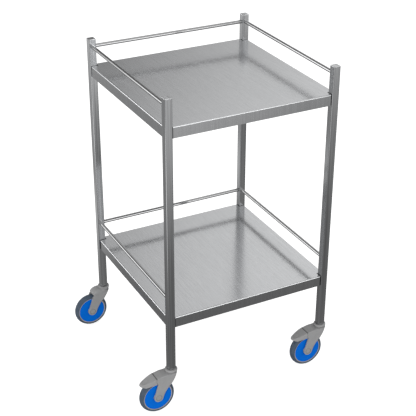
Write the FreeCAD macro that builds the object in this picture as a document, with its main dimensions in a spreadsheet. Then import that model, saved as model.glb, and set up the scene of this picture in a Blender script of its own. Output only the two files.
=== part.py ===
import FreeCAD, Part
import math
import os
import Sketcher

# A stainless steel dressing trolley: two folded shelves between four square posts, guard rails on
# three sides, and four swivel castors, the front two with a brake pedal. Millimetres, +Z up.
# The origin is on the floor, under the middle of the whole trolley. The castors trail towards -X.
# The open side, with no rails, faces -Y.

document = FreeCAD.newDocument("dressing_trolley")
sheet = document.addObject("Spreadsheet::Sheet", "sizes")

SIZES = {
    # frame
    "frame_width": 490,
    "frame_depth": 490,
    "frame_height": 900,
    "post_size": 20,
    "post_wall": 1.5,
    "post_corner": 2,
    "cap_thickness": 2,
    "cap_edge": 1.2,
    "cap_plug_length": 12,
    # shelves
    "top_shelf_height": 825,
    "lower_shelf_height": 285,
    "flange_height": 30,
    "sheet_thickness": 1.2,
    "bend_radius": 2.6,
    "shelf_inset": 3.3,
    "lip_width": 12,
    "lip_corner_gap": 6,
    # rails
    "rail_diameter": 10,
    "rail_wall": 1,
    "rail_above_shelf": 53,
    # castor: wheel
    "castor_height": 125,
    "trail": 44,
    "wheel_diameter": 100,
    "tyre_width": 24,
    "tread_radius": 15,
    "tyre_seat_radius": 42,
    "tyre_seat_half_width": 9.5,
    "cover_radius": 39.4,
    "cover_thickness": 1.5,
    "cover_bulge": 0.6,
    "cover_hole_radius": 13.2,
    "rim_wall": 3.2,
    "hub_radius": 12.8,
    "hub_half_width": 12.4,
    "web_half_thickness": 1.6,
    "rib_thickness": 2.4,
    "rib_count": 8,
    "bearing_radius": 11,
    "bearing_width": 7,
    "bearing_recess": 0.6,
    # castor: axle
    "axle_radius": 4,
    "axle_head_radius": 7.8,
    "axle_head_thickness": 1.4,
    "axle_head_crown": 0.5,
    "axle_head_gap": 0.6,
    # castor: fork
    "fork_width": 34,
    "fork_slot_width": 26,
    "leg_end_radius": 13,
    "leg_front_curve": 80,
    "tyre_gap": 5,
    "web_foot_behind": 5,
    "web_foot_height": 86,
    "nose_reach": 13.6,
    "nose_rounding": 11,
    "nose_middle_reach": 7.4,
    "nose_middle_height": 101,
    "nose_middle_rounding": 8,
    "nose_low_rounding": 2,
    "side_edge": 1.2,
    "collar_radius": 17,
    "collar_height": 5,
    "collar_edge": 2,
    "collar_gap": 1,
    "neck_radius": 15.5,
    "brake_fork_top": 116,
    "brake_fork_shoulder": 30,
    "plain_fork_top": 119.5,
    "crown_curve": 28,
    "crown_lip_behind": 41,
    "crown_lip_angle": 35,
    "crotch_behind": 40.5,
    "crotch_height": 98,
    "crown_rounding": 8,
    # castor: swivel
    "swivel_bearing_radius": 11.5,
    "swivel_bearing_height": 10,
    "swivel_bearing_low": 109.5,
    "stem_radius": 6,
    "stem_head_radius": 7.7,
    "stem_head_height": 4.7,
    "stem_bolt_radius": 5,
    "bush_length": 42,
    "nut_radius": 7.8,
    "nut_height": 6,
    # brake
    "pin_behind": 34,
    "pin_height": 105.5,
    "pin_radius": 2,
    "pin_length": 30,
    "hinge_radius": 15.7,
    "hinge_top_angle": 153,
    "hinge_low_angle": 227,
    "hinge_gap": 0.9,
    "lug_radius": 4.2,
    "lug_half_width": 12.4,
    "neck_half_height": 2.1,
    "neck_reach": 58.5,
    "pedal_reach": 93.4,
    "pedal_tip_radius": 9.4,
    "pedal_taper_start": 50,
    "pedal_slope_end": 85,
    "pedal_slope_end_height": 100.4,
    "pedal_tip_height": 94.5,
    "pedal_tip_curve": 14,
    "pedal_belly": 80,
    "pedal_belly_height": 90,
    "pedal_knee": 66,
    "pedal_knee_height": 93.6,
    "pedal_bevel": 1.3,
    "pedal_wall": 2.6,
    "cavity_overrun": 30,
    "pedal_skirt_height": 95.6,
    "dish_behind": 77,
    "dish_radius": 8.5,
    "dish_depth": 0.9,
    "brake_angle": 8,
    "shoe_gap": 0.3,
    "shoe_half_width": 6,
    "shoe_start_angle": 99,
    "shoe_end_angle": 112,
    # clearances
    "running_gap": 0.05,
    "seat_gap": 0.05,
    "swivel_gap": 0.3,
}
for row, (alias, number) in enumerate(SIZES.items(), start=1):
    sheet.set(f"A{row}", alias.replace("_", " "))
    sheet.set(f"B{row}", str(number))
    sheet.setAlias(f"B{row}", alias)
document.recompute()


class Size:
    """A length or an angle: its number, and the expression that gives it from the sheet."""

    def __init__(self, number, text):
        self.number = number
        self.text = text

    def __add__(self, other):
        other = as_size(other)
        return Size(self.number + other.number, f"({self.text} + {other.text})")

    def __sub__(self, other):
        other = as_size(other)
        return Size(self.number - other.number, f"({self.text} - {other.text})")

    def __mul__(self, other):
        other = as_size(other)
        return Size(self.number * other.number, f"({self.text} * {other.text})")

    def __truediv__(self, other):
        other = as_size(other)
        return Size(self.number / other.number, f"({self.text} / {other.text})")

    def __rsub__(self, other):
        return as_size(other) - self

    def __radd__(self, other):
        return as_size(other) + self

    def __rmul__(self, other):
        return as_size(other) * self

    def __neg__(self):
        return Size(-self.number, f"(0 - {self.text})")


def as_size(value):
    return value if isinstance(value, Size) else Size(float(value), str(value))


def size(alias):
    return Size(float(sheet.get(alias)), f"sizes.{alias}")


def cosine(angle):
    return Size(math.cos(math.radians(angle.number)), f"cos({angle.text})")


def sine(angle):
    return Size(math.sin(math.radians(angle.number)), f"sin({angle.text})")


def arccosine(ratio):
    return Size(math.degrees(math.acos(ratio.number)), f"acos({ratio.text})")


def root(value):
    return Size(math.sqrt(value.number), f"sqrt({value.text})")


def direction(rise, run):
    """The angle whose tangent is rise over run, in all four quarters."""
    angle = math.degrees(math.atan2(rise.number, run.number))
    return Size(angle, f"atan2({rise.text}; {run.text})")


def smaller(first, second):
    first, second = as_size(first), as_size(second)
    return Size(min(first.number, second.number), f"min({first.text}; {second.text})")


def larger(first, second):
    first, second = as_size(first), as_size(second)
    return Size(max(first.number, second.number), f"max({first.text}; {second.text})")


ZERO = as_size(0)
post_axis_x = (size("frame_width") - size("post_size")) / 2
post_axis_y = (size("frame_depth") - size("post_size")) / 2
wheel_radius = size("wheel_diameter") / 2
fork_half = size("fork_width") / 2
castor_back = size("trail") + larger(wheel_radius, size("pedal_reach") - size("trail"))
frame_shift = (castor_back - size("collar_radius")) / 2
axle_x = -size("trail")
bore_half = size("post_size") / 2 - size("post_wall")

SIDES = {"left": -1, "right": 1}
ENDS = {"front": -1, "rear": 1}
BRAKED = ("front",)


# Helpers for bodies, sketches and features

def new_body(label, x=ZERO, y=ZERO, z=ZERO):
    body = document.addObject("PartDesign::Body", label)
    body.Label = label
    for axis, place in zip("xyz", (x, y, z)):
        body.setExpression(f"Placement.Base.{axis}", as_size(place).text)
    return body


def sketch_on(body, plane, x=ZERO, y=ZERO, height=ZERO):
    """A sketch on one of the body's own origin planes, shifted in the plane and along its normal."""
    sketch = body.newObject("Sketcher::SketchObject", "sketch")
    support = next(item for item in body.Origin.OriginFeatures if item.Role == plane)
    sketch.AttachmentSupport = [(support, "")]
    sketch.MapMode = "FlatFace"
    for axis, place in zip("xyz", (x, y, height)):
        sketch.setExpression(f"AttachmentOffset.Base.{axis}", as_size(place).text)
    return sketch


def hold(sketch, kind, places, value):
    """Adds a dimension and binds it to the sheet."""
    number = sketch.addConstraint(Sketcher.Constraint(kind, *places, value.number))
    sketch.setExpression(f"Constraints[{number}]", value.text)


def arc_between(start, end, radius):
    """The short arc from start to end. A positive radius keeps its centre on the left."""
    chord = end - start
    half = chord.Length / 2
    left = FreeCAD.Vector(-chord.y, chord.x, 0).normalize()
    rise = math.sqrt(max(radius * radius - half * half, 0))
    centre = (start + end) / 2 + left * rise * (1 if radius > 0 else -1)
    first, last = (start, end) if radius > 0 else (end, start)
    angles = [math.atan2(point.y - centre.y, point.x - centre.x) for point in (first, last)]
    if angles[1] <= angles[0]:
        angles[1] += 2 * math.pi
    circle = Part.Circle(centre, FreeCAD.Vector(0, 0, 1), abs(radius))
    return Part.ArcOfCircle(circle, *angles)


def outline(sketch, corners):
    """Draws a closed outline. A corner is x, y and, where an arc leads on to the next, its radius.

    An arc with a positive radius turns left on its way to the next corner, and one with a negative
    radius turns right.
    """
    corners = [(as_size(corner[0]), as_size(corner[1]), *corner[2:]) for corner in corners]
    points = [FreeCAD.Vector(x.number, y.number, 0) for x, y, *_ in corners]
    first = sketch.GeometryCount
    count = len(corners)
    begins, ends = [], []
    for index, corner in enumerate(corners):
        start, end = points[index], points[(index + 1) % count]
        if len(corner) == 3:
            sketch.addGeometry(arc_between(start, end, corner[2].number), False)
            turns_left = corner[2].number > 0
            begins.append(1 if turns_left else 2)
            ends.append(2 if turns_left else 1)
        else:
            sketch.addGeometry(Part.LineSegment(start, end), False)
            begins.append(1)
            ends.append(2)
    for index in range(count):
        after = (index + 1) % count
        sketch.addConstraint(
            Sketcher.Constraint(
                "Coincident", first + index, ends[index], first + after, begins[after]
            )
        )
    for index, corner in enumerate(corners):
        hold(sketch, "DistanceX", (-1, 1, first + index, begins[index]), corner[0])
        hold(sketch, "DistanceY", (-1, 1, first + index, begins[index]), corner[1])
        if len(corner) == 3:
            radius = corner[2]
            hold(sketch, "Radius", (first + index,), radius if radius.number > 0 else -radius)


def circle(sketch, x, y, radius):
    x, y, radius = as_size(x), as_size(y), as_size(radius)
    number = sketch.addGeometry(
        Part.Circle(FreeCAD.Vector(x.number, y.number, 0), FreeCAD.Vector(0, 0, 1), radius.number)
    )
    hold(sketch, "DistanceX", (-1, 1, number, 3), x)
    hold(sketch, "DistanceY", (-1, 1, number, 3), y)
    hold(sketch, "Radius", (number,), radius)


def rectangle(sketch, x_low, y_low, x_high, y_high):
    outline(sketch, [(x_low, y_low), (x_high, y_low), (x_high, y_high), (x_low, y_high)])


def pad(body, sketch, length, both_ways=False, reversed_way=False):
    feature = body.newObject("PartDesign::Pad", "pad")
    feature.Profile = sketch
    feature.setExpression("Length", as_size(length).text)
    feature.Midplane = both_ways
    feature.Reversed = reversed_way
    document.recompute()
    return feature


def cut(body, sketch, length=None, both_ways=False, reversed_way=False):
    """A pocket of the given depth, or through everything both ways where none is given."""
    before = body.Tip.Shape.Volume
    feature = body.newObject("PartDesign::Pocket", "pocket")
    feature.Profile = sketch
    if length is None:
        feature.Type = "ThroughAll"
        feature.Midplane = True
    else:
        feature.setExpression("Length", as_size(length).text)
        feature.Midplane = both_ways
        feature.Reversed = reversed_way
    document.recompute()
    must_shrink(feature, before)
    return feature


def turn(body, sketch, kind="PartDesign::Revolution", axis="V_Axis", angle=360):
    """Turns a sketch about an axis of its own, to add or, as a groove, to take away."""
    before = body.Tip.Shape.Volume if body.Tip else 0
    feature = body.newObject(kind, "turned")
    feature.Profile = sketch
    feature.ReferenceAxis = (sketch, [axis])
    angle = as_size(angle)
    feature.setExpression("Angle", angle.text if angle.number > 0 else (-angle).text)
    feature.Reversed = angle.number < 0
    document.recompute()
    if kind == "PartDesign::Groove":
        must_shrink(feature, before)
    return feature


def must_shrink(feature, before):
    if feature.Shape.Volume >= before - 1e-6:
        raise ValueError(f"{feature.Name} takes nothing away")


def round_edges(body, radius, test, kind="PartDesign::Fillet"):
    """Rounds the edges of the body so far whose middle point and direction pass the test."""
    base = body.Tip
    names = []
    for number, edge in enumerate(base.Shape.Edges, start=1):
        middle = edge.valueAt((edge.FirstParameter + edge.LastParameter) / 2)
        if test(edge, middle):
            names.append(f"Edge{number}")
    if not names:
        raise ValueError(f"{body.Label}: no edge to round")
    feature = body.newObject(kind, "rounded")
    feature.Base = (base, names)
    feature.setExpression("Radius", as_size(radius).text)
    document.recompute()
    return feature


def is_line(edge):
    return isinstance(edge.Curve, Part.Line)


def along(edge, axis):
    """Whether a straight edge runs along x, y or z (0, 1 or 2)."""
    return is_line(edge) and abs(abs(edge.tangentAt(edge.FirstParameter)[axis]) - 1) < 1e-6


def near(first, second):
    return abs(first - second) < 0.01


# Posts and their caps

def square(sketch, half):
    rectangle(sketch, -half, -half, half, half)


def post_place(end, side):
    return frame_shift + SIDES[side] * post_axis_x, ENDS[end] * post_axis_y


def post(end, side):
    body = new_body(f"{end}_{side}_post", *post_place(end, side), size("castor_height"))
    height = size("frame_height") - size("castor_height") - size("cap_thickness")
    outer = sketch_on(body, "XY_Plane")
    square(outer, size("post_size") / 2)
    pad(body, outer, height)
    round_edges(body, size("post_corner"), lambda edge, middle: along(edge, 2))
    inner = sketch_on(body, "XY_Plane")
    square(inner, bore_half)
    cut(body, inner)
    inner_corner = larger(size("post_corner") - size("post_wall"), 0.3)
    reach = bore_half.number * math.sqrt(2)
    round_edges(
        body,
        inner_corner,
        lambda edge, middle: along(edge, 2) and near(math.hypot(middle.x, middle.y), reach),
    )
    return body


def post_cap(end, side):
    low = size("frame_height") - size("cap_thickness")
    body = new_body(f"{end}_{side}_post_cap", *post_place(end, side), low)
    lid = sketch_on(body, "XY_Plane")
    square(lid, size("post_size") / 2)
    pad(body, lid, size("cap_thickness"))
    round_edges(body, size("post_corner"), lambda edge, middle: along(edge, 2))
    thickness = size("cap_thickness")
    round_edges(
        body,
        smaller(size("cap_edge"), thickness * 0.8),
        lambda edge, middle: near(middle.z, thickness.number),
    )
    plug = sketch_on(body, "XY_Plane")
    square(plug, bore_half - size("seat_gap"))
    pad(body, plug, size("cap_plug_length"), reversed_way=True)
    plug_middle = -size("cap_plug_length").number / 2
    round_edges(
        body,
        larger(size("post_corner") - size("post_wall"), 0.3) + 0.3,
        lambda edge, middle: along(edge, 2) and near(middle.z, plug_middle),
    )
    return body


# Shelves: a folded pan with a notch at each corner for the post, its edge returned underneath

def pan_outline(sketch, half_x, half_y, notch_x, notch_y):
    quarter = [(half_x, notch_y), (notch_x, notch_y), (notch_x, half_y)]
    corners = []
    for x_sign, y_sign, turned in ((1, 1, 0), (-1, 1, 1), (-1, -1, 0), (1, -1, 1)):
        part = [(x_sign * x, y_sign * y) for x, y in quarter]
        corners += part[::-1] if turned else part
    outline(sketch, corners)


def shelf(label, surface_height):
    low = size(surface_height) - size("flange_height")
    body = new_body(label, frame_shift, ZERO, low)
    half_x = size("frame_width") / 2 - size("shelf_inset")
    half_y = size("frame_depth") / 2 - size("shelf_inset")
    notch_x = size("frame_width") / 2 - size("post_size")
    notch_y = size("frame_depth") / 2 - size("post_size")
    flange = size("flange_height")
    thickness = size("sheet_thickness")
    block = sketch_on(body, "XY_Plane")
    pan_outline(block, half_x, half_y, notch_x, notch_y)
    pad(body, block, flange)
    bend = larger(size("bend_radius"), thickness + 0.3)

    def is_bend(edge, middle):
        in_notch = near(abs(middle.x), notch_x.number) and near(abs(middle.y), notch_y.number)
        return near(middle.z, flange.number) or (along(edge, 2) and not in_notch)

    round_edges(body, bend, is_bend)
    room = sketch_on(body, "XY_Plane")
    sheet_inside = [value - thickness for value in (half_x, half_y, notch_x, notch_y)]
    pan_outline(room, *sheet_inside)
    cut(body, room, flange - thickness, reversed_way=True)

    def is_inner_bend(edge, middle):
        return near(middle.z, (flange - thickness).number)

    round_edges(body, bend - thickness, is_inner_bend)
    lips = sketch_on(body, "XY_Plane")
    lip = size("lip_width")
    for sign in (-1, 1):
        inner = half_x - thickness / 2
        end = notch_y - size("lip_corner_gap")
        rectangle(lips, sign * inner, -end, sign * (half_x - lip), end)
        inner = half_y - thickness / 2
        end = notch_x - size("lip_corner_gap")
        rectangle(lips, -end, sign * inner, end, sign * (half_y - lip))
    pad(body, lips, thickness)
    return body


# Guard rails: round tubes between the posts, on the left, right and back

def rail(label, surface_height, side):
    height = size(surface_height) + size("rail_above_shelf")
    radius = size("rail_diameter") / 2
    if side == "back":
        body = new_body(label, frame_shift, post_axis_y, height)
        ring = sketch_on(body, "YZ_Plane")
        length = size("frame_width") - 2 * size("post_size")
    else:
        body = new_body(label, frame_shift + SIDES[side] * post_axis_x, ZERO, height)
        ring = sketch_on(body, "XZ_Plane")
        length = size("frame_depth") - 2 * size("post_size")
    circle(ring, 0, 0, radius)
    circle(ring, 0, 0, radius - size("rail_wall"))
    pad(body, ring, length, both_ways=True)
    return body


# Castors. Each stands in its own frame: the swivel axis is Z, the floor is z = 0, and the wheel
# trails towards -X.

def castor_label(end, side, piece):
    return f"{end}_{side}_{piece}"


def swivel_stem(end, side):
    """The riveted stem: its head under the bearing, a plate that the post stands on, and a bolt."""
    body = new_body(castor_label(end, side, "castor_stem"), *post_place(end, side))
    low = size("swivel_bearing_low")
    gap = size("swivel_gap")
    plate_low = low + size("swivel_bearing_height") + gap
    plate_radius = size("swivel_bearing_radius") - gap
    plate_top = size("castor_height")
    nut_low = plate_top + size("bush_length")
    profile = sketch_on(body, "XZ_Plane")
    outline(
        profile,
        [
            (0, low - gap - size("stem_head_height")),
            (size("stem_head_radius"), low - gap - size("stem_head_height")),
            (size("stem_head_radius"), low - gap),
            (size("stem_radius"), low - gap),
            (size("stem_radius"), plate_low),
            (plate_radius, plate_low),
            (plate_radius, plate_top),
            (size("stem_bolt_radius"), plate_top),
            (size("stem_bolt_radius"), nut_low),
            (size("nut_radius"), nut_low),
            (size("nut_radius"), nut_low + size("nut_height") * 0.6),
            (size("nut_radius") - 1.5, nut_low + size("nut_height")),
            (0, nut_low + size("nut_height")),
        ],
    )
    turn(body, profile)
    return body


def stem_bush(end, side):
    """The expanding bush that fills the foot of the post round the castor's bolt."""
    place = post_place(end, side)
    body = new_body(castor_label(end, side, "castor_bush"), *place, size("castor_height"))
    section = sketch_on(body, "XY_Plane")
    square(section, bore_half - size("seat_gap"))
    pad(body, section, size("bush_length"))
    round_edges(
        body,
        larger(size("post_corner") - size("post_wall"), 0.3) + 0.3,
        lambda edge, middle: along(edge, 2),
    )
    hole = sketch_on(body, "XY_Plane")
    circle(hole, 0, 0, size("stem_bolt_radius") + size("seat_gap"))
    cut(body, hole)
    return body


def swivel_bearing(end, side):
    place = post_place(end, side)
    body = new_body(castor_label(end, side, "swivel_bearing"), *place, size("swivel_bearing_low"))
    inner = size("stem_radius") + size("running_gap")
    outer = size("swivel_bearing_radius") - size("seat_gap")
    height = size("swivel_bearing_height")
    groove = (outer - inner) / 4
    middle = (inner + outer) / 2
    profile = sketch_on(body, "XZ_Plane")
    outline(
        profile,
        [
            (inner, 0),
            (outer, 0),
            (outer, height),
            (middle + groove, height),
            (middle + groove, height - groove),
            (middle - groove, height - groove),
            (middle - groove, height),
            (inner, height),
        ],
    )
    turn(body, profile)
    return body


def touching_point(from_x, from_z, side):
    """Where a straight line from a point meets the round end of the leg and runs on smoothly."""
    rise = from_z - wheel_radius
    run = from_x - axle_x
    reach = root(rise * rise + run * run)
    angle = direction(rise, run) + side * arccosine(size("leg_end_radius") / reach)
    return leg_end_at(angle)


def leg_end_at(angle):
    radius = size("leg_end_radius")
    return axle_x + radius * cosine(angle), wheel_radius + radius * sine(angle)


def leg_front_point(foot_x, foot_z):
    """Where the hollow curve down the front of the leg runs smoothly into the leg's round end."""
    rise = foot_z - wheel_radius
    run = foot_x - axle_x
    reach = root(rise * rise + run * run)
    curve = size("leg_front_curve")
    far = curve + size("leg_end_radius")
    ratio = (reach * reach + far * far - curve * curve) / (2 * reach * far)
    return leg_end_at(direction(rise, run) - arccosine(ratio))


def on_hinge(angle, extra=ZERO):
    """A point on the round shoulder of the fork about the pedal's pin."""
    radius = size("hinge_radius") + extra
    return radius * cosine(angle) - size("pin_behind"), radius * sine(angle) + size("pin_height")


def fork_outline(braked):
    """The legs and crown seen from the side: along the top, down the back and up the front."""
    foot = (-size("web_foot_behind"), size("web_foot_height"))
    if braked:
        top = size("brake_fork_top")
        crotch = on_hinge(size("hinge_low_angle"))
        back = [
            (-size("brake_fork_shoulder"), top),
            (*on_hinge(size("hinge_top_angle")), size("hinge_radius")),
            crotch,
        ]
    else:
        top = size("plain_fork_top") - size("crown_rounding")
        bend_x, bend_z = crown_bend()
        side_curve = size("crown_curve") - size("crown_rounding")
        lip_angle = size("crown_lip_angle")
        lip = (bend_x - side_curve * cosine(lip_angle), bend_z + side_curve * sine(lip_angle))
        crotch = (-size("crotch_behind"), size("crotch_height"))
        back = [(bend_x, top, side_curve), lip, crotch]
    return [
        (foot[0], top),
        *back,
        (*touching_point(*crotch, 1), size("leg_end_radius")),
        (*leg_end_at(as_size(-90)), size("leg_end_radius")),
        (*leg_front_point(*foot), -size("leg_front_curve")),
        foot,
    ]


def crown_bend():
    """The centre that the crown of a fork without a brake curves down about, behind the head."""
    curve = size("crown_curve")
    bend_x = curve * cosine(size("crown_lip_angle")) - size("crown_lip_behind")
    return bend_x, size("plain_fork_top") - curve


def add_crown(body):
    """The arched crown over the wheel: straight behind the head, then curved down to its lip."""
    bend_x, bend_z = crown_bend()
    curve = size("crown_curve")
    rounding = size("crown_rounding")
    flat = fork_half - rounding

    def arch(low):
        section = sketch_on(body, "YZ_Plane", ZERO, bend_z, bend_x)
        outline(
            section,
            [
                (-fork_half, low),
                (fork_half, low),
                (fork_half, curve - rounding, rounding),
                (flat, curve),
                (-flat, curve, rounding),
                (-fork_half, curve - rounding),
            ],
        )
        return section

    pad(body, arch(curve - rounding - 4), -bend_x)
    turn(body, arch(rounding), axis="H_Axis", angle=size("crown_lip_angle") - 90)


def add_nose(body, top):
    """The front of the head, which narrows and sharpens from the collar down to the web's foot."""
    levels = [
        (top, size("nose_reach"), size("nose_rounding")),
        (size("nose_middle_height"), size("nose_middle_reach"), size("nose_middle_rounding")),
        (size("web_foot_height") - 3, -size("web_foot_behind") - 3, size("nose_low_rounding")),
    ]
    back = -size("web_foot_behind") - 9
    sections = []
    for height, reach, rounding in levels:
        section = sketch_on(body, "XY_Plane", height=height)
        outline(
            section,
            [
                (back, -fork_half),
                (reach - rounding, -fork_half, rounding),
                (reach, rounding - fork_half),
                (reach, fork_half - rounding, rounding),
                (reach - rounding, fork_half),
                (back, fork_half),
            ],
        )
        sections.append(section)
    nose = body.newObject("PartDesign::AdditiveLoft", "nose")
    nose.Profile = sections[0]
    nose.Sections = sections[1:]
    document.recompute()


def fork(end, side):
    braked = end in BRAKED
    body = new_body(castor_label(end, side, "fork"), *post_place(end, side))
    profile = sketch_on(body, "XZ_Plane")
    outline(profile, fork_outline(braked))
    pad(body, profile, size("fork_width"), both_ways=True)

    def is_side_edge(edge, middle):
        """An edge of the outline, but not the front inside the nose, the hinge or under the crown."""
        at_hinge = math.hypot(middle.x + pin_x, middle.z - pin_z)
        on_side = near(abs(middle.y), fork_half.number) and not near(middle.x, front_x)
        apart = not near(at_hinge, hinge) if braked else middle.z < crotch_z
        return on_side and apart and not along(edge, 1)

    pin_x, pin_z = size("pin_behind").number, size("pin_height").number
    hinge = size("hinge_radius").number
    front_x = -size("web_foot_behind").number
    crotch_z = size("crotch_height").number
    round_edges(body, size("side_edge"), is_side_edge)
    top = size("brake_fork_top")
    if not braked:
        add_crown(body)
        top = size("plain_fork_top") - size("crown_rounding")
    add_nose(body, top)
    wheel_slot = sketch_on(body, "XZ_Plane")
    circle(wheel_slot, axle_x, wheel_radius, wheel_radius + size("tyre_gap"))
    cut(body, wheel_slot, size("fork_slot_width"), both_ways=True)
    if braked:
        tail_slot = sketch_on(body, "XZ_Plane")
        crown = size("brake_fork_top") - 4
        back_x = -size("pin_behind") - size("hinge_radius")
        outline(
            tail_slot,
            [
                (7 - size("pin_behind"), crown - 14),
                (7 - size("pin_behind"), crown),
                (back_x - 2, crown - 3.6),
                (back_x - 2, crown - 14),
            ],
        )
        cut(body, tail_slot, size("fork_slot_width"), both_ways=True)
        pin_hole = sketch_on(body, "XZ_Plane")
        radius = size("pin_radius") + size("seat_gap")
        circle(pin_hole, -size("pin_behind"), size("pin_height"), radius)
        cut(body, pin_hole, size("pin_length") + 0.2, both_ways=True)
    collar_top = size("castor_height") - size("collar_gap")
    collar = sketch_on(body, "XZ_Plane")
    outline(
        collar,
        [
            (0, top - 4),
            (size("neck_radius") - 3, top - 4),
            (size("neck_radius"), top + 2),
            (size("neck_radius"), collar_top - size("collar_height")),
            (size("collar_radius"), collar_top - size("collar_height") + 1),
            (size("collar_radius"), collar_top - size("collar_edge"), size("collar_edge")),
            (size("collar_radius") - size("collar_edge"), collar_top),
            (0, collar_top),
        ],
    )
    turn(body, collar)
    low = size("swivel_bearing_low")
    head_radius = size("stem_head_radius") + size("swivel_gap")
    head_low = low - 2 * size("swivel_gap") - size("stem_head_height")
    chamber = sketch_on(body, "XZ_Plane")
    outline(
        chamber,
        [
            (0, head_low),
            (head_radius, head_low),
            (head_radius, low),
            (size("swivel_bearing_radius"), low),
            (size("swivel_bearing_radius"), collar_top + 1),
            (0, collar_top + 1),
        ],
    )
    turn(body, chamber, "PartDesign::Groove")
    axle_hole = sketch_on(body, "XZ_Plane")
    circle(axle_hole, axle_x, wheel_radius, size("axle_radius") + size("seat_gap"))
    cut(body, axle_hole)
    for sign in (-1, 1):
        recess = sketch_on(body, "XZ_Plane", height=sign * fork_half)
        circle(recess, axle_x, wheel_radius, size("axle_head_radius") + size("axle_head_gap"))
        cut(body, recess, size("axle_head_thickness"), reversed_way=sign < 0)
    return body


def wheel_place(end, side):
    x, y = post_place(end, side)
    return x + axle_x, y, wheel_radius


def axle(end, side):
    """A plain axle with a low round head let into the outside of each leg."""
    body = new_body(castor_label(end, side, "axle"), *wheel_place(end, side))
    seat = fork_half - size("axle_head_thickness")
    crown = size("axle_head_crown")
    profile = sketch_on(body, "XY_Plane")
    head = size("axle_head_radius")
    pin = size("axle_radius")
    outline(
        profile,
        [
            (0, -fork_half),
            (head - crown, -fork_half),
            (head, -(fork_half - crown)),
            (head, -seat),
            (pin, -seat),
            (pin, seat),
            (head, seat),
            (head, fork_half - crown),
            (head - crown, fork_half),
            (0, fork_half),
        ],
    )
    turn(body, profile)
    return body


def rim(end, side):
    """The wheel's core: a hub and a rim joined by a web with ribs, behind the covers."""
    body = new_body(castor_label(end, side, "rim"), *wheel_place(end, side))
    hub = size("hub_radius")
    hub_half = size("hub_half_width")
    bearing_half = hub_half - size("bearing_recess")
    shoulder = bearing_half - size("bearing_width")
    bore = size("bearing_radius") + size("seat_gap")
    outer = size("tyre_seat_radius") - size("seat_gap")
    edge_half = size("tyre_seat_half_width")
    cover_seat = size("cover_radius") + size("seat_gap")
    cover_half = edge_half - size("cover_thickness")
    rim_inner = cover_seat - size("rim_wall")
    web = size("web_half_thickness")
    half = [
        (bore - 3, shoulder),
        (bore, shoulder),
        (bore, hub_half),
        (hub, hub_half),
        (hub, web),
        (rim_inner, web),
        (rim_inner, cover_half),
        (cover_seat, cover_half),
        (cover_seat, edge_half),
        (outer, edge_half),
    ]
    profile = sketch_on(body, "XY_Plane")
    outline(profile, [(x, -y) for x, y in half] + half[::-1])
    turn(body, profile)
    rib = sketch_on(body, "XZ_Plane")
    thickness = size("rib_thickness") / 2
    rectangle(rib, hub - 1, -thickness, rim_inner + 1, thickness)
    web_pad = pad(body, rib, 2 * cover_half - 1, both_ways=True)
    ribs = body.newObject("PartDesign::PolarPattern", "ribs")
    ribs.Originals = [web_pad]
    ribs.Axis = (rib, ["N_Axis"])
    ribs.Angle = 360
    ribs.setExpression("Occurrences", "sizes.rib_count")
    body.Tip = ribs
    document.recompute()
    return body


def wheel_covers(end, side):
    """The two coloured discs that snap into the faces of the rim."""
    body = new_body(castor_label(end, side, "wheel_covers"), *wheel_place(end, side))
    radius = size("cover_radius")
    inner = size("cover_hole_radius")
    face = size("tyre_seat_half_width")
    back = face - size("cover_thickness")
    bulge = size("cover_bulge")
    for sign in (1, -1):
        profile = sketch_on(body, "XY_Plane")
        outline(
            profile,
            [
                (inner, sign * back),
                (radius, sign * back),
                (radius, sign * (face - 0.3)),
                (radius - 1.2, sign * face),
                (radius - 4, sign * (face + bulge)),
                (inner, sign * (face + bulge)),
            ],
        )
        turn(body, profile)
    return body


def tyre(end, side):
    body = new_body(castor_label(end, side, "tyre"), *wheel_place(end, side))
    half = size("tyre_width") / 2
    crown = size("tread_radius")
    drop = crown - root(crown * crown - half * half)
    shoulder = wheel_radius - drop
    seat = size("tyre_seat_radius")
    seat_half = size("tyre_seat_half_width")
    profile = sketch_on(body, "XY_Plane")
    outline(
        profile,
        [
            (seat, -seat_half),
            (shoulder - 1, -half),
            (shoulder, -half, crown),
            (shoulder, half),
            (shoulder - 1, half),
            (seat, seat_half),
        ],
    )
    turn(body, profile)
    return body


def wheel_bearings(end, side):
    """The two ball bearings of the hub, one at each end of its bore."""
    body = new_body(castor_label(end, side, "wheel_bearings"), *wheel_place(end, side))
    outer = size("bearing_radius")
    inner = size("axle_radius") + size("running_gap")
    far = size("hub_half_width") - size("bearing_recess")
    close = far - size("bearing_width")
    step = (outer - inner) / 4
    for sign in (1, -1):
        profile = sketch_on(body, "XY_Plane")
        outline(
            profile,
            [
                (inner, sign * close),
                (outer, sign * close),
                (outer, sign * far),
                (outer - step, sign * far),
                (outer - step, sign * (far - 0.4)),
                (inner + step, sign * (far - 0.4)),
                (inner + step, sign * far),
                (inner, sign * far),
            ],
        )
        turn(body, profile)
    return body


# Brake of a front castor: a pedal on a pin in the fork, with a shoe that it presses on the tyre

def pedal_slope():
    """Rise over run of the pedal's flat top, which climbs towards the fork."""
    x, z = on_hinge(size("hinge_top_angle"), size("hinge_gap"))
    return (z - size("pedal_slope_end_height")) / (x + size("pedal_slope_end"))


def pedal_top_at(x):
    return size("pedal_slope_end_height") + (x + size("pedal_slope_end")) * pedal_slope()


def pedal_under_at(x):
    slope = pedal_slope()
    return pedal_top_at(x) - size("pedal_wall") * root(slope * slope + 1)


def tongue_curve(run, half, tip):
    """Radius of a tongue's long side curve, and how far past its tip's centre the two arcs meet."""
    radius = (run * run + half * half - tip * tip) / (2 * (half - tip))
    past = run * tip / (radius - tip)
    out = (radius - half) * tip / (radius - tip)
    return radius, past, out


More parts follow.
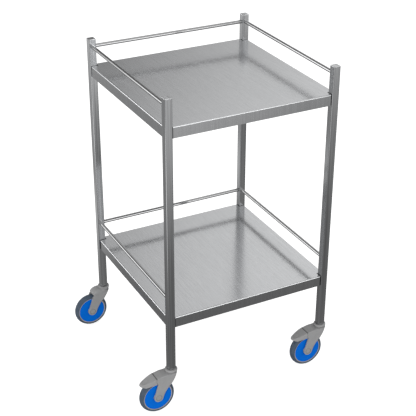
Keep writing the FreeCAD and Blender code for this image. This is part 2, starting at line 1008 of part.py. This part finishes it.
def outside_tongue(sketch):
    """All that lies outside the pedal's plan, which tapers in two long curves to a round tip."""
    start = -size("pedal_taper_start")
    tip = size("pedal_tip_radius")
    tip_x = tip - size("pedal_reach")
    side_curve, past, out = tongue_curve(start - tip_x, fork_half, tip)
    far_x = -size("pedal_reach") - 10
    far_y = fork_half + 10
    outline(
        sketch,
        [
            (start, far_y),
            (start, fork_half, side_curve),
            (tip_x - past, out, tip),
            (tip_x - past, -out, side_curve),
            (start, -fork_half),
            (start, -far_y),
            (far_x, -far_y),
            (far_x, far_y),
        ],
    )


def tongue_room(sketch, run):
    """The room inside the pedal's walls, drawn from where the taper starts, and open to the fork."""
    half = fork_half - size("pedal_wall")
    tip = size("pedal_tip_radius") - size("pedal_wall")
    side_curve, past, out = tongue_curve(run, half, tip)
    outline(
        sketch,
        [
            (size("cavity_overrun"), -half),
            (size("cavity_overrun"), half),
            (ZERO, half, side_curve),
            (-run - past, out, tip),
            (-run - past, -out, side_curve),
            (ZERO, -half),
        ],
    )


def hollow_pedal(body):
    """Opens the pedal from below: a roof that follows its top, and upright walls."""
    slope = pedal_slope()
    length = root(slope * slope + 1)
    start = -size("pedal_taper_start")
    run = start + size("pedal_reach") - size("pedal_tip_radius")
    roof_x = start + size("pedal_wall") * slope / length
    roof_z = pedal_top_at(start) - size("pedal_wall") / length
    roof = sketch_on(body, "XY_Plane", roof_x, ZERO, roof_z)
    tilt = roof.AttachmentOffset
    tilt.Rotation = FreeCAD.Rotation(FreeCAD.Vector(0, -1, 0), 1)
    roof.AttachmentOffset = tilt
    roof.setExpression("AttachmentOffset.Rotation.Angle", f"atan({slope.text})")
    tongue_room(roof, run * length)
    cut(body, roof, size("cavity_overrun"))
    skirt = sketch_on(body, "XY_Plane", start)
    tongue_room(skirt, run)
    cut(body, skirt, size("pedal_skirt_height"), reversed_way=True)


def cut_dish(body):
    """A shallow round dish in the pedal's top, square to its slope."""
    slope = pedal_slope()
    length = root(slope * slope + 1)
    along_x, along_z = as_size(1) / length, slope / length
    x = -size("dish_behind")
    z = pedal_top_at(x)
    radius = size("dish_radius")
    depth = size("dish_depth")
    sphere = (radius * radius + depth * depth) / (2 * depth)
    above = size("pedal_wall") / 2

    def place(out, up):
        return x + out * along_x - up * along_z, z + out * along_z + up * along_x

    section = sketch_on(body, "XZ_Plane")
    outline(
        section,
        [
            (*place(ZERO, -depth), sphere),
            place(radius, ZERO),
            place(radius, above),
            place(ZERO, above),
        ],
    )
    ends = [FreeCAD.Vector(*(value.number for value in place(ZERO, up)), 0) for up in (-depth, above)]
    line = section.addGeometry(Part.LineSegment(*ends), True)
    section.addConstraint(Sketcher.Constraint("Coincident", line, 1, 0, 1))
    section.addConstraint(Sketcher.Constraint("Coincident", line, 2, 3, 1))
    turn(body, section, "PartDesign::Groove", "Axis0")


def brake_pedal(end, side):
    body = new_body(castor_label(end, side, "brake_pedal"), *post_place(end, side))
    gap = size("hinge_gap")
    around = size("hinge_radius") + gap
    profile = sketch_on(body, "XZ_Plane")
    outline(
        profile,
        [
            on_hinge(size("hinge_top_angle"), gap),
            (-size("pedal_slope_end"), size("pedal_slope_end_height"), size("pedal_tip_curve")),
            (-size("pedal_reach"), size("pedal_tip_height")),
            (-size("pedal_belly"), size("pedal_belly_height")),
            (-size("pedal_knee"), size("pedal_knee_height")),
            (*on_hinge(size("hinge_low_angle") - size("brake_angle") * 1.2, gap), -around),
        ],
    )
    pad(body, profile, size("fork_width"), both_ways=True)
    plan = sketch_on(body, "XY_Plane")
    outside_tongue(plan)
    cut(body, plan)
    tip_x = -size("pedal_slope_end").number
    tip_z = size("pedal_tip_height").number - 0.5

    def is_top_edge(edge, middle):
        if abs(middle.y) < 1:
            return False
        on_top = near(middle.z, pedal_top_at(as_size(middle.x)).number)
        return on_top or (middle.x < tip_x and middle.z > tip_z)

    round_edges(body, size("side_edge"), is_top_edge)
    bevel = size("pedal_bevel")
    top_x, top_z = on_hinge(size("hinge_top_angle"), gap)
    corner = sketch_on(body, "XZ_Plane")
    outline(
        corner,
        [
            (top_x + bevel, top_z - bevel * 2),
            (top_x + bevel, top_z + bevel * 2),
            (top_x - bevel * 2, top_z + bevel),
        ],
    )
    cut(body, corner)
    hollow_pedal(body)
    neck = sketch_on(body, "XZ_Plane")
    pin_x = -size("pin_behind")
    pin_z = size("pin_height")
    half = size("neck_half_height")
    rectangle(neck, -size("neck_reach"), pin_z - half, pin_x, pin_z + half)
    pad(body, neck, 2 * size("lug_half_width"), both_ways=True)
    lug = sketch_on(body, "XZ_Plane")
    circle(lug, pin_x, pin_z, size("lug_radius"))
    pad(body, lug, 2 * size("lug_half_width"), both_ways=True)
    hole = sketch_on(body, "XZ_Plane")
    circle(hole, pin_x, pin_z, size("pin_radius") + size("running_gap"))
    cut(body, hole, 2 * size("lug_half_width") + 2, both_ways=True)
    cut_dish(body)
    return body


def pedal_pin(end, side):
    body = new_body(castor_label(end, side, "pedal_pin"), *post_place(end, side))
    section = sketch_on(body, "XZ_Plane")
    circle(section, -size("pin_behind"), size("pin_height"), size("pin_radius"))
    pad(body, section, size("pin_length"), both_ways=True)
    return body


def brake_shoe(end, side):
    """The shoe under the pedal, hollowed to the tyre as it lies with the pedal pressed down."""
    body = new_body(castor_label(end, side, "brake_shoe"), *post_place(end, side))
    angle = size("brake_angle")
    pin_x = -size("pin_behind")
    pin_z = size("pin_height")
    run, rise = axle_x - pin_x, wheel_radius - pin_z
    wheel_x = pin_x + run * cosine(angle) + rise * sine(angle)
    wheel_z = pin_z - run * sine(angle) + rise * cosine(angle)
    reach = wheel_radius + size("shoe_gap")

    def on_tyre(turned):
        return wheel_x + reach * cosine(turned), wheel_z + reach * sine(turned)

    front = on_tyre(size("shoe_start_angle"))
    back = on_tyre(size("shoe_end_angle"))
    profile = sketch_on(body, "XZ_Plane")
    outline(
        profile,
        [
            (*front, reach),
            back,
            (back[0], pedal_under_at(back[0])),
            (front[0], pedal_under_at(front[0])),
        ],
    )
    pad(body, profile, 2 * size("shoe_half_width"), both_ways=True)
    return body


# The whole trolley

parts = []
for end_name in ENDS:
    for side_name in SIDES:
        parts.append(post(end_name, side_name))
        parts.append(post_cap(end_name, side_name))
for shelf_name in ("top", "lower"):
    parts.append(shelf(f"{shelf_name}_shelf", f"{shelf_name}_shelf_height"))
    for rail_side in ("left", "right", "back"):
        parts.append(rail(f"{shelf_name}_{rail_side}_rail", f"{shelf_name}_shelf_height", rail_side))
CASTOR_PIECES = (
    stem_bush,
    swivel_stem,
    swivel_bearing,
    fork,
    axle,
    rim,
    wheel_covers,
    tyre,
    wheel_bearings,
)
BRAKE_PIECES = (brake_pedal, pedal_pin, brake_shoe)
for end_name in ENDS:
    for side_name in SIDES:
        for make_piece in CASTOR_PIECES:
            parts.append(make_piece(end_name, side_name))
        if end_name in BRAKED:
            for make_piece in BRAKE_PIECES:
                parts.append(make_piece(end_name, side_name))

document.recompute()
faults = [item.Name for item in document.Objects if {"Invalid", "Error"} & set(item.State)]
faults += [item.Label for item in parts if item.Shape.isNull() or not item.Shape.isValid()]
if faults:
    raise ValueError(f"not built: {faults}")
os.makedirs("parts", exist_ok=True)
for item in parts:
    item.Shape.exportStep(f"parts/{item.Label}.step")
    print(item.Label, round(item.Shape.Volume), len(item.Shape.Solids))
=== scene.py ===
import math

import bpy
from mathutils import Matrix, Vector


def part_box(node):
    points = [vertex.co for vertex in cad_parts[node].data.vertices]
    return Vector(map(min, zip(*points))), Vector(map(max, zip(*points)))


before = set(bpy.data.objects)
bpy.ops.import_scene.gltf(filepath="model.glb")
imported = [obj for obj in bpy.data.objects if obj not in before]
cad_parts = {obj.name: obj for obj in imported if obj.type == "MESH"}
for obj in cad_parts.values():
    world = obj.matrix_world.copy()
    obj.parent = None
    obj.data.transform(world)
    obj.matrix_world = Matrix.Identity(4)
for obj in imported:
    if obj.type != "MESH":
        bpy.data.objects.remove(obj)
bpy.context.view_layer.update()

# Camera: the photograph's viewing angle

AZIMUTH = math.radians(-27.58)
ELEVATION = math.radians(27.99)
ROLL = math.radians(0.21)
DISTANCE = 3.0019
TARGET = Vector((0.0366, 0.001, 0.4396))
SENSOR_WIDTH = 36
FOCAL_LENGTH = 92.89
CLIP_START, CLIP_END = 0.05, 50


def add_camera():
    back = Vector(
        (
            math.sin(AZIMUTH) * math.cos(ELEVATION),
            -math.cos(AZIMUTH) * math.cos(ELEVATION),
            math.sin(ELEVATION),
        )
    )
    right = (-back).cross(Vector((0, 0, 1))).normalized()
    up = right.cross(-back)
    rolled_right = right * math.cos(ROLL) + up * math.sin(ROLL)
    rolled_up = up * math.cos(ROLL) - right * math.sin(ROLL)
    turned = Matrix((rolled_right, rolled_up, back)).transposed()
    data = bpy.data.cameras.new("camera")
    data.sensor_fit = "HORIZONTAL"
    data.sensor_width = SENSOR_WIDTH
    data.lens = FOCAL_LENGTH
    data.clip_start = CLIP_START
    data.clip_end = CLIP_END
    camera = bpy.data.objects.new("camera", data)
    bpy.context.scene.collection.objects.link(camera)
    camera.matrix_world = Matrix.Translation(TARGET + back * DISTANCE) @ turned.to_4x4()
    bpy.context.scene.camera = camera


add_camera()
bpy.context.scene.view_settings.view_transform = "Standard"


# Places on the trolley that the materials follow, in metres


def middle_of(name):
    """The middle of a node's box."""
    low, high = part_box(name)
    return (low + high) / 2


FRONT_POSTS = [middle_of("front_left_post"), middle_of("front_right_post")]
AXLES = [middle_of("front_left_axle"), middle_of("front_right_axle")]
# Two opposite corner posts give the X and the Y of all four.
CORNER_POSTS = [FRONT_POSTS[0], middle_of("rear_right_post")]
# How far behind a front post the dish in the pedal lies, and the split between pedal and fork
DISH_BEHIND = 0.077
SPLIT_BEHIND = 0.0492
DISHES = [post - Vector((DISH_BEHIND, 0, 0)) for post in FRONT_POSTS]
SPLITS = [post.x - SPLIT_BEHIND for post in FRONT_POSTS]


# Materials

WHITE = (1, 1, 1, 1)
# A mix node has sockets for each kind of value: these are its two inputs and its output.
MIX_SOCKETS = {"VECTOR": (4, 5, 1), "RGBA": (6, 7, 2)}
# How dark the painted shade in the welded joint round each post gets, and how soft its edge is
WELD_SHADE_DARK = 0.25
WELD_SHADE_BLUR = 0.0006


class Wiring:
    """A node tree, with short ways to add nodes. A value is a number, a vector or a socket."""

    def __init__(self, tree):
        self.tree = tree

    def fill(self, node, inputs):
        """Sets a node's inputs, or links them, and gives the node."""
        for key, value in inputs.items():
            if isinstance(value, bpy.types.NodeSocket):
                self.tree.links.new(value, node.inputs[key])
            else:
                node.inputs[key].default_value = value
        return node

    def add(self, kind, inputs, **settings):
        node = self.tree.nodes.new(kind)
        for key, value in settings.items():
            setattr(node, key, value)
        return self.fill(node, inputs)

    def maths(self, operation, first, second=0):
        return self.add("ShaderNodeMath", {0: first, 1: second}, operation=operation).outputs[0]

    def measure(self, operation, first, second):
        """A number from two vectors."""
        node = self.add("ShaderNodeVectorMath", {0: first, 1: second}, operation=operation)
        return node.outputs["Value"]

    def joined(self, operation, values):
        """One number from several, taken two at a time."""
        first, *others = values
        for other in others:
            first = self.maths(operation, first, other)
        return first

    def apart(self, first, second):
        return self.maths("ABSOLUTE", self.maths("SUBTRACT", first, second))

    def spread(self, value, low, high, start=0.3, end=0.7, **settings):
        """Goes from low to high as the value goes from start to end, and stays there beyond."""
        node = self.add(
            "ShaderNodeMapRange",
            {"Value": value, "From Min": start, "From Max": end, "To Min": low, "To Max": high},
            **settings,
        )
        return node.outputs["Result"]

    def falling(self, value, far, close, strength):
        """The strength where the value is at close or beyond, and nothing where it is at far."""
        return self.spread(value, 0, strength, far, close, interpolation_type="SMOOTHSTEP")

    def glowing(self, kind, colour, strength):
        return self.add(kind, {"Color": colour, "Strength": strength}).outputs[0]

    def either(self, factor, first, second):
        """One shader where the factor is 0, and another where it is 1."""
        return self.add("ShaderNodeMixShader", {0: factor, 1: first, 2: second}).outputs[0]

    def rays(self):
        """1 for what the camera sees by itself, and 1 for what it sees in metal or glass."""
        path = self.add("ShaderNodeLightPath", {}).outputs
        shiny = self.maths("MAXIMUM", path["Is Glossy Ray"], path["Is Transmission Ray"])
        return path["Is Camera Ray"], shiny


class Shade(Wiring):
    """A new material with one shader."""

    def __init__(self, name, **values):
        self.material = bpy.data.materials.new(name)
        self.material.use_nodes = True
        super().__init__(self.material.node_tree)
        self.shader = self.tree.nodes["Principled BSDF"]
        self.wire(**values)

    def wire(self, **values):
        self.fill(self.shader, {key.replace("_", " "): value for key, value in values.items()})

    def place(self, scale=(1, 1, 1)):
        """The object's own coordinates, in metres, stretched."""
        own = self.add("ShaderNodeTexCoord", {}).outputs["Object"]
        return self.add("ShaderNodeMapping", {"Vector": own, "Scale": scale}).outputs["Vector"]

    def axes(self, vector):
        return self.add("ShaderNodeSeparateXYZ", {0: vector}).outputs

    def noise(self, vector, scale, detail=2.0, roughness=0.5):
        """A noise with as many features in a metre as the scale says."""
        node = self.add(
            "ShaderNodeTexNoise",
            {"Vector": vector, "Scale": scale, "Detail": detail, "Roughness": roughness},
        )
        return node.outputs["Fac"]

    def mix(self, kind, factor, first, second):
        """One value where the factor is 0, and another where it is 1."""
        first_input, second_input, output = MIX_SOCKETS[kind]
        inputs = {0: factor, first_input: first, second_input: second}
        return self.add("ShaderNodeMix", inputs, data_type=kind).outputs[output]

    def bump(self, height, strength, distance):
        node = self.add(
            "ShaderNodeBump", {"Height": height, "Strength": strength, "Distance": distance}
        )
        return node.outputs["Normal"]

    def seam(self, reach):
        """Painted shade in the welded joint within a reach of each post's middle, and 1 on open
        metal.
        """
        place = self.axes(self.place())
        offs = [
            self.joined("MINIMUM", [self.apart(place[axis], post[index]) for post in CORNER_POSTS])
            for index, axis in enumerate("XY")
        ]
        off = self.joined("MAXIMUM", offs)
        return self.spread(off, WELD_SHADE_DARK, 1, reach - WELD_SHADE_BLUR, reach + WELD_SHADE_BLUR)

    def line(self, off, half_width, dark):
        """Painted shade on a fine line with soft edges, and 1 away from it."""
        return self.spread(off, dark, 1, half_width * 0.5, half_width * 1.5)

    def ring(self, plane, middles, radius, half_width, dark):
        """A line of painted shade round each middle. The plane is the two axes that it lies in."""
        place = self.axes(self.place())
        aways = []
        for middle in middles:
            offs = [
                self.maths("SUBTRACT", place[axis], middle["XYZ".index(axis)]) for axis in plane
            ]
            squares = [self.maths("MULTIPLY", off, off) for off in offs]
            aways.append(self.maths("SQRT", self.joined("ADD", squares)))
        off = self.apart(self.joined("MINIMUM", aways), radius)
        return self.line(off, half_width, dark)

    def crack(self, places, above, half_width, dark):
        """A straight line of painted shade along Y at each place on X, only above a height."""
        place = self.axes(self.place())
        off = self.joined("MINIMUM", [self.apart(place["X"], x) for x in places])
        under = self.maths("LESS_THAN", place["Z"], above)
        return self.maths("MAXIMUM", self.line(off, half_width, dark), under)


BRUSHED_UP = (1, 1, 0.012)
BRUSHED_ALONG_Y = (1, 0.03, 1)
FINE_STREAKS, BROAD_STREAKS, STEEL_CLOUDS = 1300, 230, 5
FINE_STREAK_DEPTH = 0.06
# The part of a streak's noise that goes from its darkest to its brightest
STREAK_RANGE = (0.35, 0.65)
STREAK_BUMP = (0.06, 0.00002)
# A face is level from 0, upright, to 1, flat. The bends between the two get a painted highlight,
# and are smoother: the look comes over the first range and goes over the second.
FLAT = 0.7
BEND_HIGHLIGHT_COMES, BEND_HIGHLIGHT_GOES = (0.1, 0.3), (0.88, 0.97)
BEND_HIGHLIGHT_TONE, BEND_POLISH_ROUGHNESS = 1.5, 0.5
# How much smoother and rougher the streaks and the clouds make the steel
STREAK_ROUGHNESS = (-0.01, 0.015)
CLOUD_ROUGHNESS = (-0.01, 0.01)
# The green and the blue of steel, against its red
GREEN, BLUE = 1.012, 1.03


def brushed_steel(name, tone, rough, streak_depth, weld_shade_reach=None):
    """Satin steel: upright faces are brushed up and down, and flat ones along Y.

    The depth is how far the broad streaks go from the tone. The reach is how far, in metres, the
    painted shade in the welded joint round a post goes from the post's middle.
    """
    shade = Shade(name, Metallic=1.0)
    normal = shade.axes(shade.add("ShaderNodeNewGeometry", {}).outputs["Normal"])
    level = shade.maths("ABSOLUTE", normal["Z"])
    flat = shade.maths("GREATER_THAN", level, FLAT)
    grain = shade.mix("VECTOR", flat, shade.place(BRUSHED_UP), shade.place(BRUSHED_ALONG_Y))
    fine = shade.noise(grain, FINE_STREAKS, detail=3, roughness=0.6)
    broad = shade.noise(grain, BROAD_STREAKS)
    cloud = shade.noise(shade.place(), STEEL_CLOUDS)
    # 1 on the bends between upright and flat faces, and 0 on the faces
    bend_highlight_and_polish = shade.maths(
        "MULTIPLY",
        shade.spread(level, 0, 1, *BEND_HIGHLIGHT_COMES),
        shade.spread(level, 1, 0, *BEND_HIGHLIGHT_GOES),
    )
    streaks = shade.maths(
        "ADD",
        shade.spread(fine, -FINE_STREAK_DEPTH, FINE_STREAK_DEPTH, *STREAK_RANGE),
        shade.spread(broad, -streak_depth, streak_depth, *STREAK_RANGE),
    )
    bright = shade.maths("MULTIPLY", shade.maths("ADD", streaks, 1), tone)
    # Painted highlight on the bends
    bright = shade.maths("MULTIPLY", bright, shade.spread(bend_highlight_and_polish, 1, BEND_HIGHLIGHT_TONE, 0, 1))
    # Painted shade in the welded joint round each post
    if weld_shade_reach:
        bright = shade.maths("MULTIPLY", bright, shade.seam(weld_shade_reach))
    colour = {
        "Red": bright,
        "Green": shade.maths("MULTIPLY", bright, GREEN),
        "Blue": shade.maths("MULTIPLY", bright, BLUE),
    }
    smoothest, roughest = (rough + change for change in STREAK_ROUGHNESS)
    roughness = shade.maths(
        "ADD", shade.spread(broad, smoothest, roughest), shade.spread(cloud, *CLOUD_ROUGHNESS)
    )
    shade.wire(
        Base_Color=shade.add("ShaderNodeCombineColor", colour).outputs[0],
        Roughness=shade.maths(
            "MULTIPLY", roughness, shade.spread(bend_highlight_and_polish, 1, BEND_POLISH_ROUGHNESS, 0, 1)
        ),
        Normal=shade.bump(fine, *STREAK_BUMP),
    )
    return shade.material


POLISH_CLOUDS = 40
POLISH_ROUGHNESS = (0.03, 0.06)
POLISH_DARK, POLISH_PALE = 0.44, 0.5


def polished_steel(name):
    shade = Shade(name, Metallic=1.0)
    cloud = shade.noise(shade.place(), POLISH_CLOUDS, detail=3)
    dark, pale = (
        (tone, tone * 1.004, tone * 1.012, 1) for tone in (POLISH_DARK, POLISH_PALE)
    )
    shade.wire(
        Base_Color=shade.mix("RGBA", cloud, dark, pale),
        Roughness=shade.spread(cloud, *POLISH_ROUGHNESS),
    )
    return shade.material


MOTTLES, PLASTIC_GRAIN = 60, 2200
# How much smoother and rougher the mottles make plastic
MOTTLE_ROUGHNESS = (-0.04, 0.05)
GRAIN_BUMP = (0.3, 0.00004)
# The colour of the painted shade in grooves and gaps
GROOVE_SHADE = (0.02, 0.02, 0.02, 1)


def moulded(name, low, high, rough, specular=0.5, rings=(), cracks=()):
    """Moulded plastic: faint mottles of two colours, a fine grain, and painted shade in its grooves
    and gaps.
    """
    shade = Shade(name, Specular_IOR_Level=specular)
    mottle = shade.noise(shade.place(), MOTTLES, detail=3)
    grain = shade.noise(shade.place(), PLASTIC_GRAIN)
    colour = shade.mix("RGBA", shade.spread(mottle, 0, 1), (*low, 1), (*high, 1))
    lines = [shade.ring(**ring) for ring in rings] + [shade.crack(**crack) for crack in cracks]
    # Painted shade along each ring and crack
    for line in lines:
        colour = shade.mix("RGBA", line, GROOVE_SHADE, colour)
    smoothest, roughest = (rough + change for change in MOTTLE_ROUGHNESS)
    shade.wire(
        Base_Color=colour,
        Roughness=shade.spread(mottle, smoothest, roughest),
        Normal=shade.bump(grain, *GRAIN_BUMP),
    )
    return shade.material


STEEL_POST = brushed_steel("steel_brushed_post", tone=0.53, rough=0.13, streak_depth=0.17)
# Painted light: the rear posts get a lighter copy of the same brushed steel.
STEEL_POST_PAINTED_LIGHTER = brushed_steel(
    "steel_brushed_rear_post_painted_lighter", tone=0.69, rough=0.13, streak_depth=0.17
)
# The shelf sheets get painted shade in the welded joint round each post.
STEEL_SHEET = brushed_steel(
    "steel_brushed_sheet", tone=0.56, rough=0.17, streak_depth=0.03, weld_shade_reach=0.0125
)
POLISHED = polished_steel("steel_polished")
CASTOR_GREY = moulded(
    "fork_plastic",
    low=(0.285, 0.285, 0.287),
    high=(0.31, 0.31, 0.312),
    rough=0.5,
    # Painted shade round each axle head, round each pedal dish, and along the split between pedal
    # and fork.
    rings=[
        {"plane": "XZ", "middles": AXLES, "radius": 0.008, "half_width": 0.0006, "dark": 0.55},
        {"plane": "XY", "middles": DISHES, "radius": 0.0083, "half_width": 0.0005, "dark": 0.8},
    ],
    cracks=[{"places": SPLITS, "above": 0.111, "half_width": 0.0012, "dark": 0.2}],
)
COVER_BLUE = moulded(
    "cover_plastic", low=(0.0, 0.13, 0.6), high=(0.0, 0.138, 0.63), rough=0.4, specular=0.05
)
RIM_BEIGE = moulded(
    "rim_plastic", low=(0.36, 0.335, 0.3), high=(0.41, 0.385, 0.35), rough=0.45
)
BUSH_BLACK = moulded(
    "bush_plastic", low=(0.03, 0.03, 0.032), high=(0.04, 0.04, 0.042), rough=0.5
)
RUBBER = moulded(
    "tyre_rubber", low=(0.055, 0.078, 0.112), high=(0.08, 0.105, 0.14), rough=0.5, specular=0.3
)
ZINC = polished_steel("zinc_steel")

# The endings of node names and their finishes. The first one that fits counts.
FINISHES = (
    (("rear_left_post", "rear_right_post"), STEEL_POST_PAINTED_LIGHTER),
    (("_post", "_post_cap"), STEEL_POST),
    ("_shelf", STEEL_SHEET),
    ("_rail", POLISHED),
    ("_castor_bush", BUSH_BLACK),
    (("_castor_stem", "_swivel_bearing", "_wheel_bearings", "_pedal_pin"), ZINC),
    (("_fork", "_axle", "_brake_pedal"), CASTOR_GREY),
    ("_rim", RIM_BEIGE),
    ("_wheel_covers", COVER_BLUE),
    (("_tyre", "_brake_shoe"), RUBBER),
)
for name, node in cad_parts.items():
    finish = next(material for endings, material in FINISHES if name.endswith(endings))
    node.data.materials.clear()
    node.data.materials.append(finish)


# Floor, background and lights. What the camera sees behind the object is white, and what the steel
# reflects is a soft studio: pale cards round and above it, and pools of light on the floor.


def toward(azimuth, elevation):
    """A direction: azimuth from +Y towards +X, and elevation, in degrees."""
    turn, rise = math.radians(azimuth), math.radians(elevation)
    return Vector(
        (math.sin(turn) * math.cos(rise), math.cos(turn) * math.cos(rise), math.sin(rise))
    )


# The direction of a card's middle, the angles from there at which its light starts to fall and is
# gone, in degrees, and how bright it is
CARDS = (
    (toward(46, 33), 8, 31, 1.15),
    (toward(-30, 27), 8, 22, 0.5),
    (toward(-41, 4), 8, 16, 3.4),
    (toward(158, 3), 7, 15, 3.0),
    (toward(215, 5), 62, 92, 0.7),
    (toward(100, 30), 18, 36, 0.7),
    (toward(-8, 10), 8, 20, 0.5),
    (toward(139, 74), 12, 30, 1.0),
)
# The middle of a pool of light on the floor, its radius and how bright it is
POOLS = (
    ((0.4, -2.4, 0), 1.65, 0.5),
    ((0.45, -0.95, 0), 0.23, 0.4),
    ((-1.0, 1.7, 0), 2.0, 0.15),
    ((-1.5, -0.9, 0), 1.2, 1.4),
    ((1.0, 1.6, 0), 1.1, 0.3),
    ((-0.3, 0.92, 0), 0.5, 0.35),
)
# How far the bare floor reaches, where its brighter surround is full, and how bright that is
SURROUND = (2.0, 3.6, 0.45)
# How bright the studio is between its cards, and the floor between its pools
CARD_REST, FLOOR_REST = 0.1, 0.18
STUDIO_COLOUR = (0.8, 0.8, 0.8, 1)
EVEN_LIGHT = 0.72
FLOOR_REACH = 12.0
# The floor lies a hair under the tyres.
FLOOR_HEIGHT = -0.0002
FLOOR_DARK, FLOOR_PALE = (0.7, 0.7, 0.7, 1), (0.73, 0.73, 0.73, 1)
FLOOR_CLOUDS = 3
FLOOR_LIFT = 0.72
LAMP_AIM = Vector((0, 0, 0.3))


def add_world():
    world = bpy.data.worlds.new("studio")
    world.use_nodes = True
    bpy.context.scene.world = world
    sky = Wiring(world.node_tree)
    way = sky.add("ShaderNodeTexCoord", {}).outputs["Generated"]
    lights = [
        sky.falling(
            sky.measure("DOT_PRODUCT", way, middle),
            math.cos(math.radians(outer)),
            math.cos(math.radians(inner)),
            strength,
        )
        for middle, inner, outer, strength in CARDS
    ]
    level = sky.joined("ADD", lights + [CARD_REST])
    cards = sky.glowing("ShaderNodeBackground", STUDIO_COLOUR, level)
    white = sky.glowing("ShaderNodeBackground", WHITE, 1)
    even = sky.fill(sky.tree.nodes["Background"], {"Color": WHITE, "Strength": EVEN_LIGHT})
    straight, shiny = sky.rays()
    seen = sky.either(straight, sky.either(shiny, even.outputs[0], cards), white)
    sky.fill(sky.tree.nodes["World Output"], {"Surface": seen})


def floor_material():
    """Pale for the camera, with the object's shadow on it. The steel sees the pools of light."""
    ground = Shade("floor", Roughness=1.0, Specular_IOR_Level=0)
    place = ground.place()
    cloud = ground.noise(place, FLOOR_CLOUDS)
    ground.wire(Base_Color=ground.mix("RGBA", cloud, FLOOR_DARK, FLOOR_PALE))
    lights = [
        ground.falling(ground.measure("DISTANCE", place, middle), radius, 0, strength)
        for middle, radius, strength in POOLS
    ]
    lights.append(ground.falling(ground.measure("DISTANCE", place, (0, 0, 0)), *SURROUND))
    level = ground.joined("ADD", lights + [FLOOR_REST])
    pools = ground.glowing("ShaderNodeEmission", WHITE, level)
    straight, shiny = ground.rays()
    lift = ground.glowing(
        "ShaderNodeEmission", WHITE, ground.maths("MULTIPLY", straight, FLOOR_LIFT)
    )
    pale = ground.add("ShaderNodeAddShader", {0: ground.shader.outputs[0], 1: lift}).outputs[0]
    seen = ground.either(shiny, pale, pools)
    ground.fill(ground.tree.nodes["Material Output"], {"Surface": seen})
    return ground.material


def add_floor():
    corners = [
        (x * FLOOR_REACH, y * FLOOR_REACH, 0) for x, y in ((-1, -1), (1, -1), (1, 1), (-1, 1))
    ]
    mesh = bpy.data.meshes.new("floor")
    mesh.from_pydata(corners, [], [(0, 1, 2, 3)])
    mesh.materials.append(floor_material())
    floor = bpy.data.objects.new("floor", mesh)
    floor.location.z = FLOOR_HEIGHT
    bpy.context.scene.collection.objects.link(floor)


def add_lamp(name, place, size, power):
    """A soft square lamp, which the steel doesn't reflect."""
    data = bpy.data.lights.new(name, "AREA")
    data.shape = "SQUARE"
    data.size = size
    data.energy = power
    lamp = bpy.data.objects.new(name, data)
    lamp.location = place
    lamp.rotation_euler = (LAMP_AIM - Vector(place)).to_track_quat("-Z", "Y").to_euler()
    lamp.visible_glossy = False
    bpy.context.scene.collection.objects.link(lamp)


add_world()
add_floor()
add_lamp("key", (-2.4, -2.4, 1.5), size=1.8, power=60)
add_lamp("fill", (2.6, -1.6, 1.6), size=2.0, power=12)
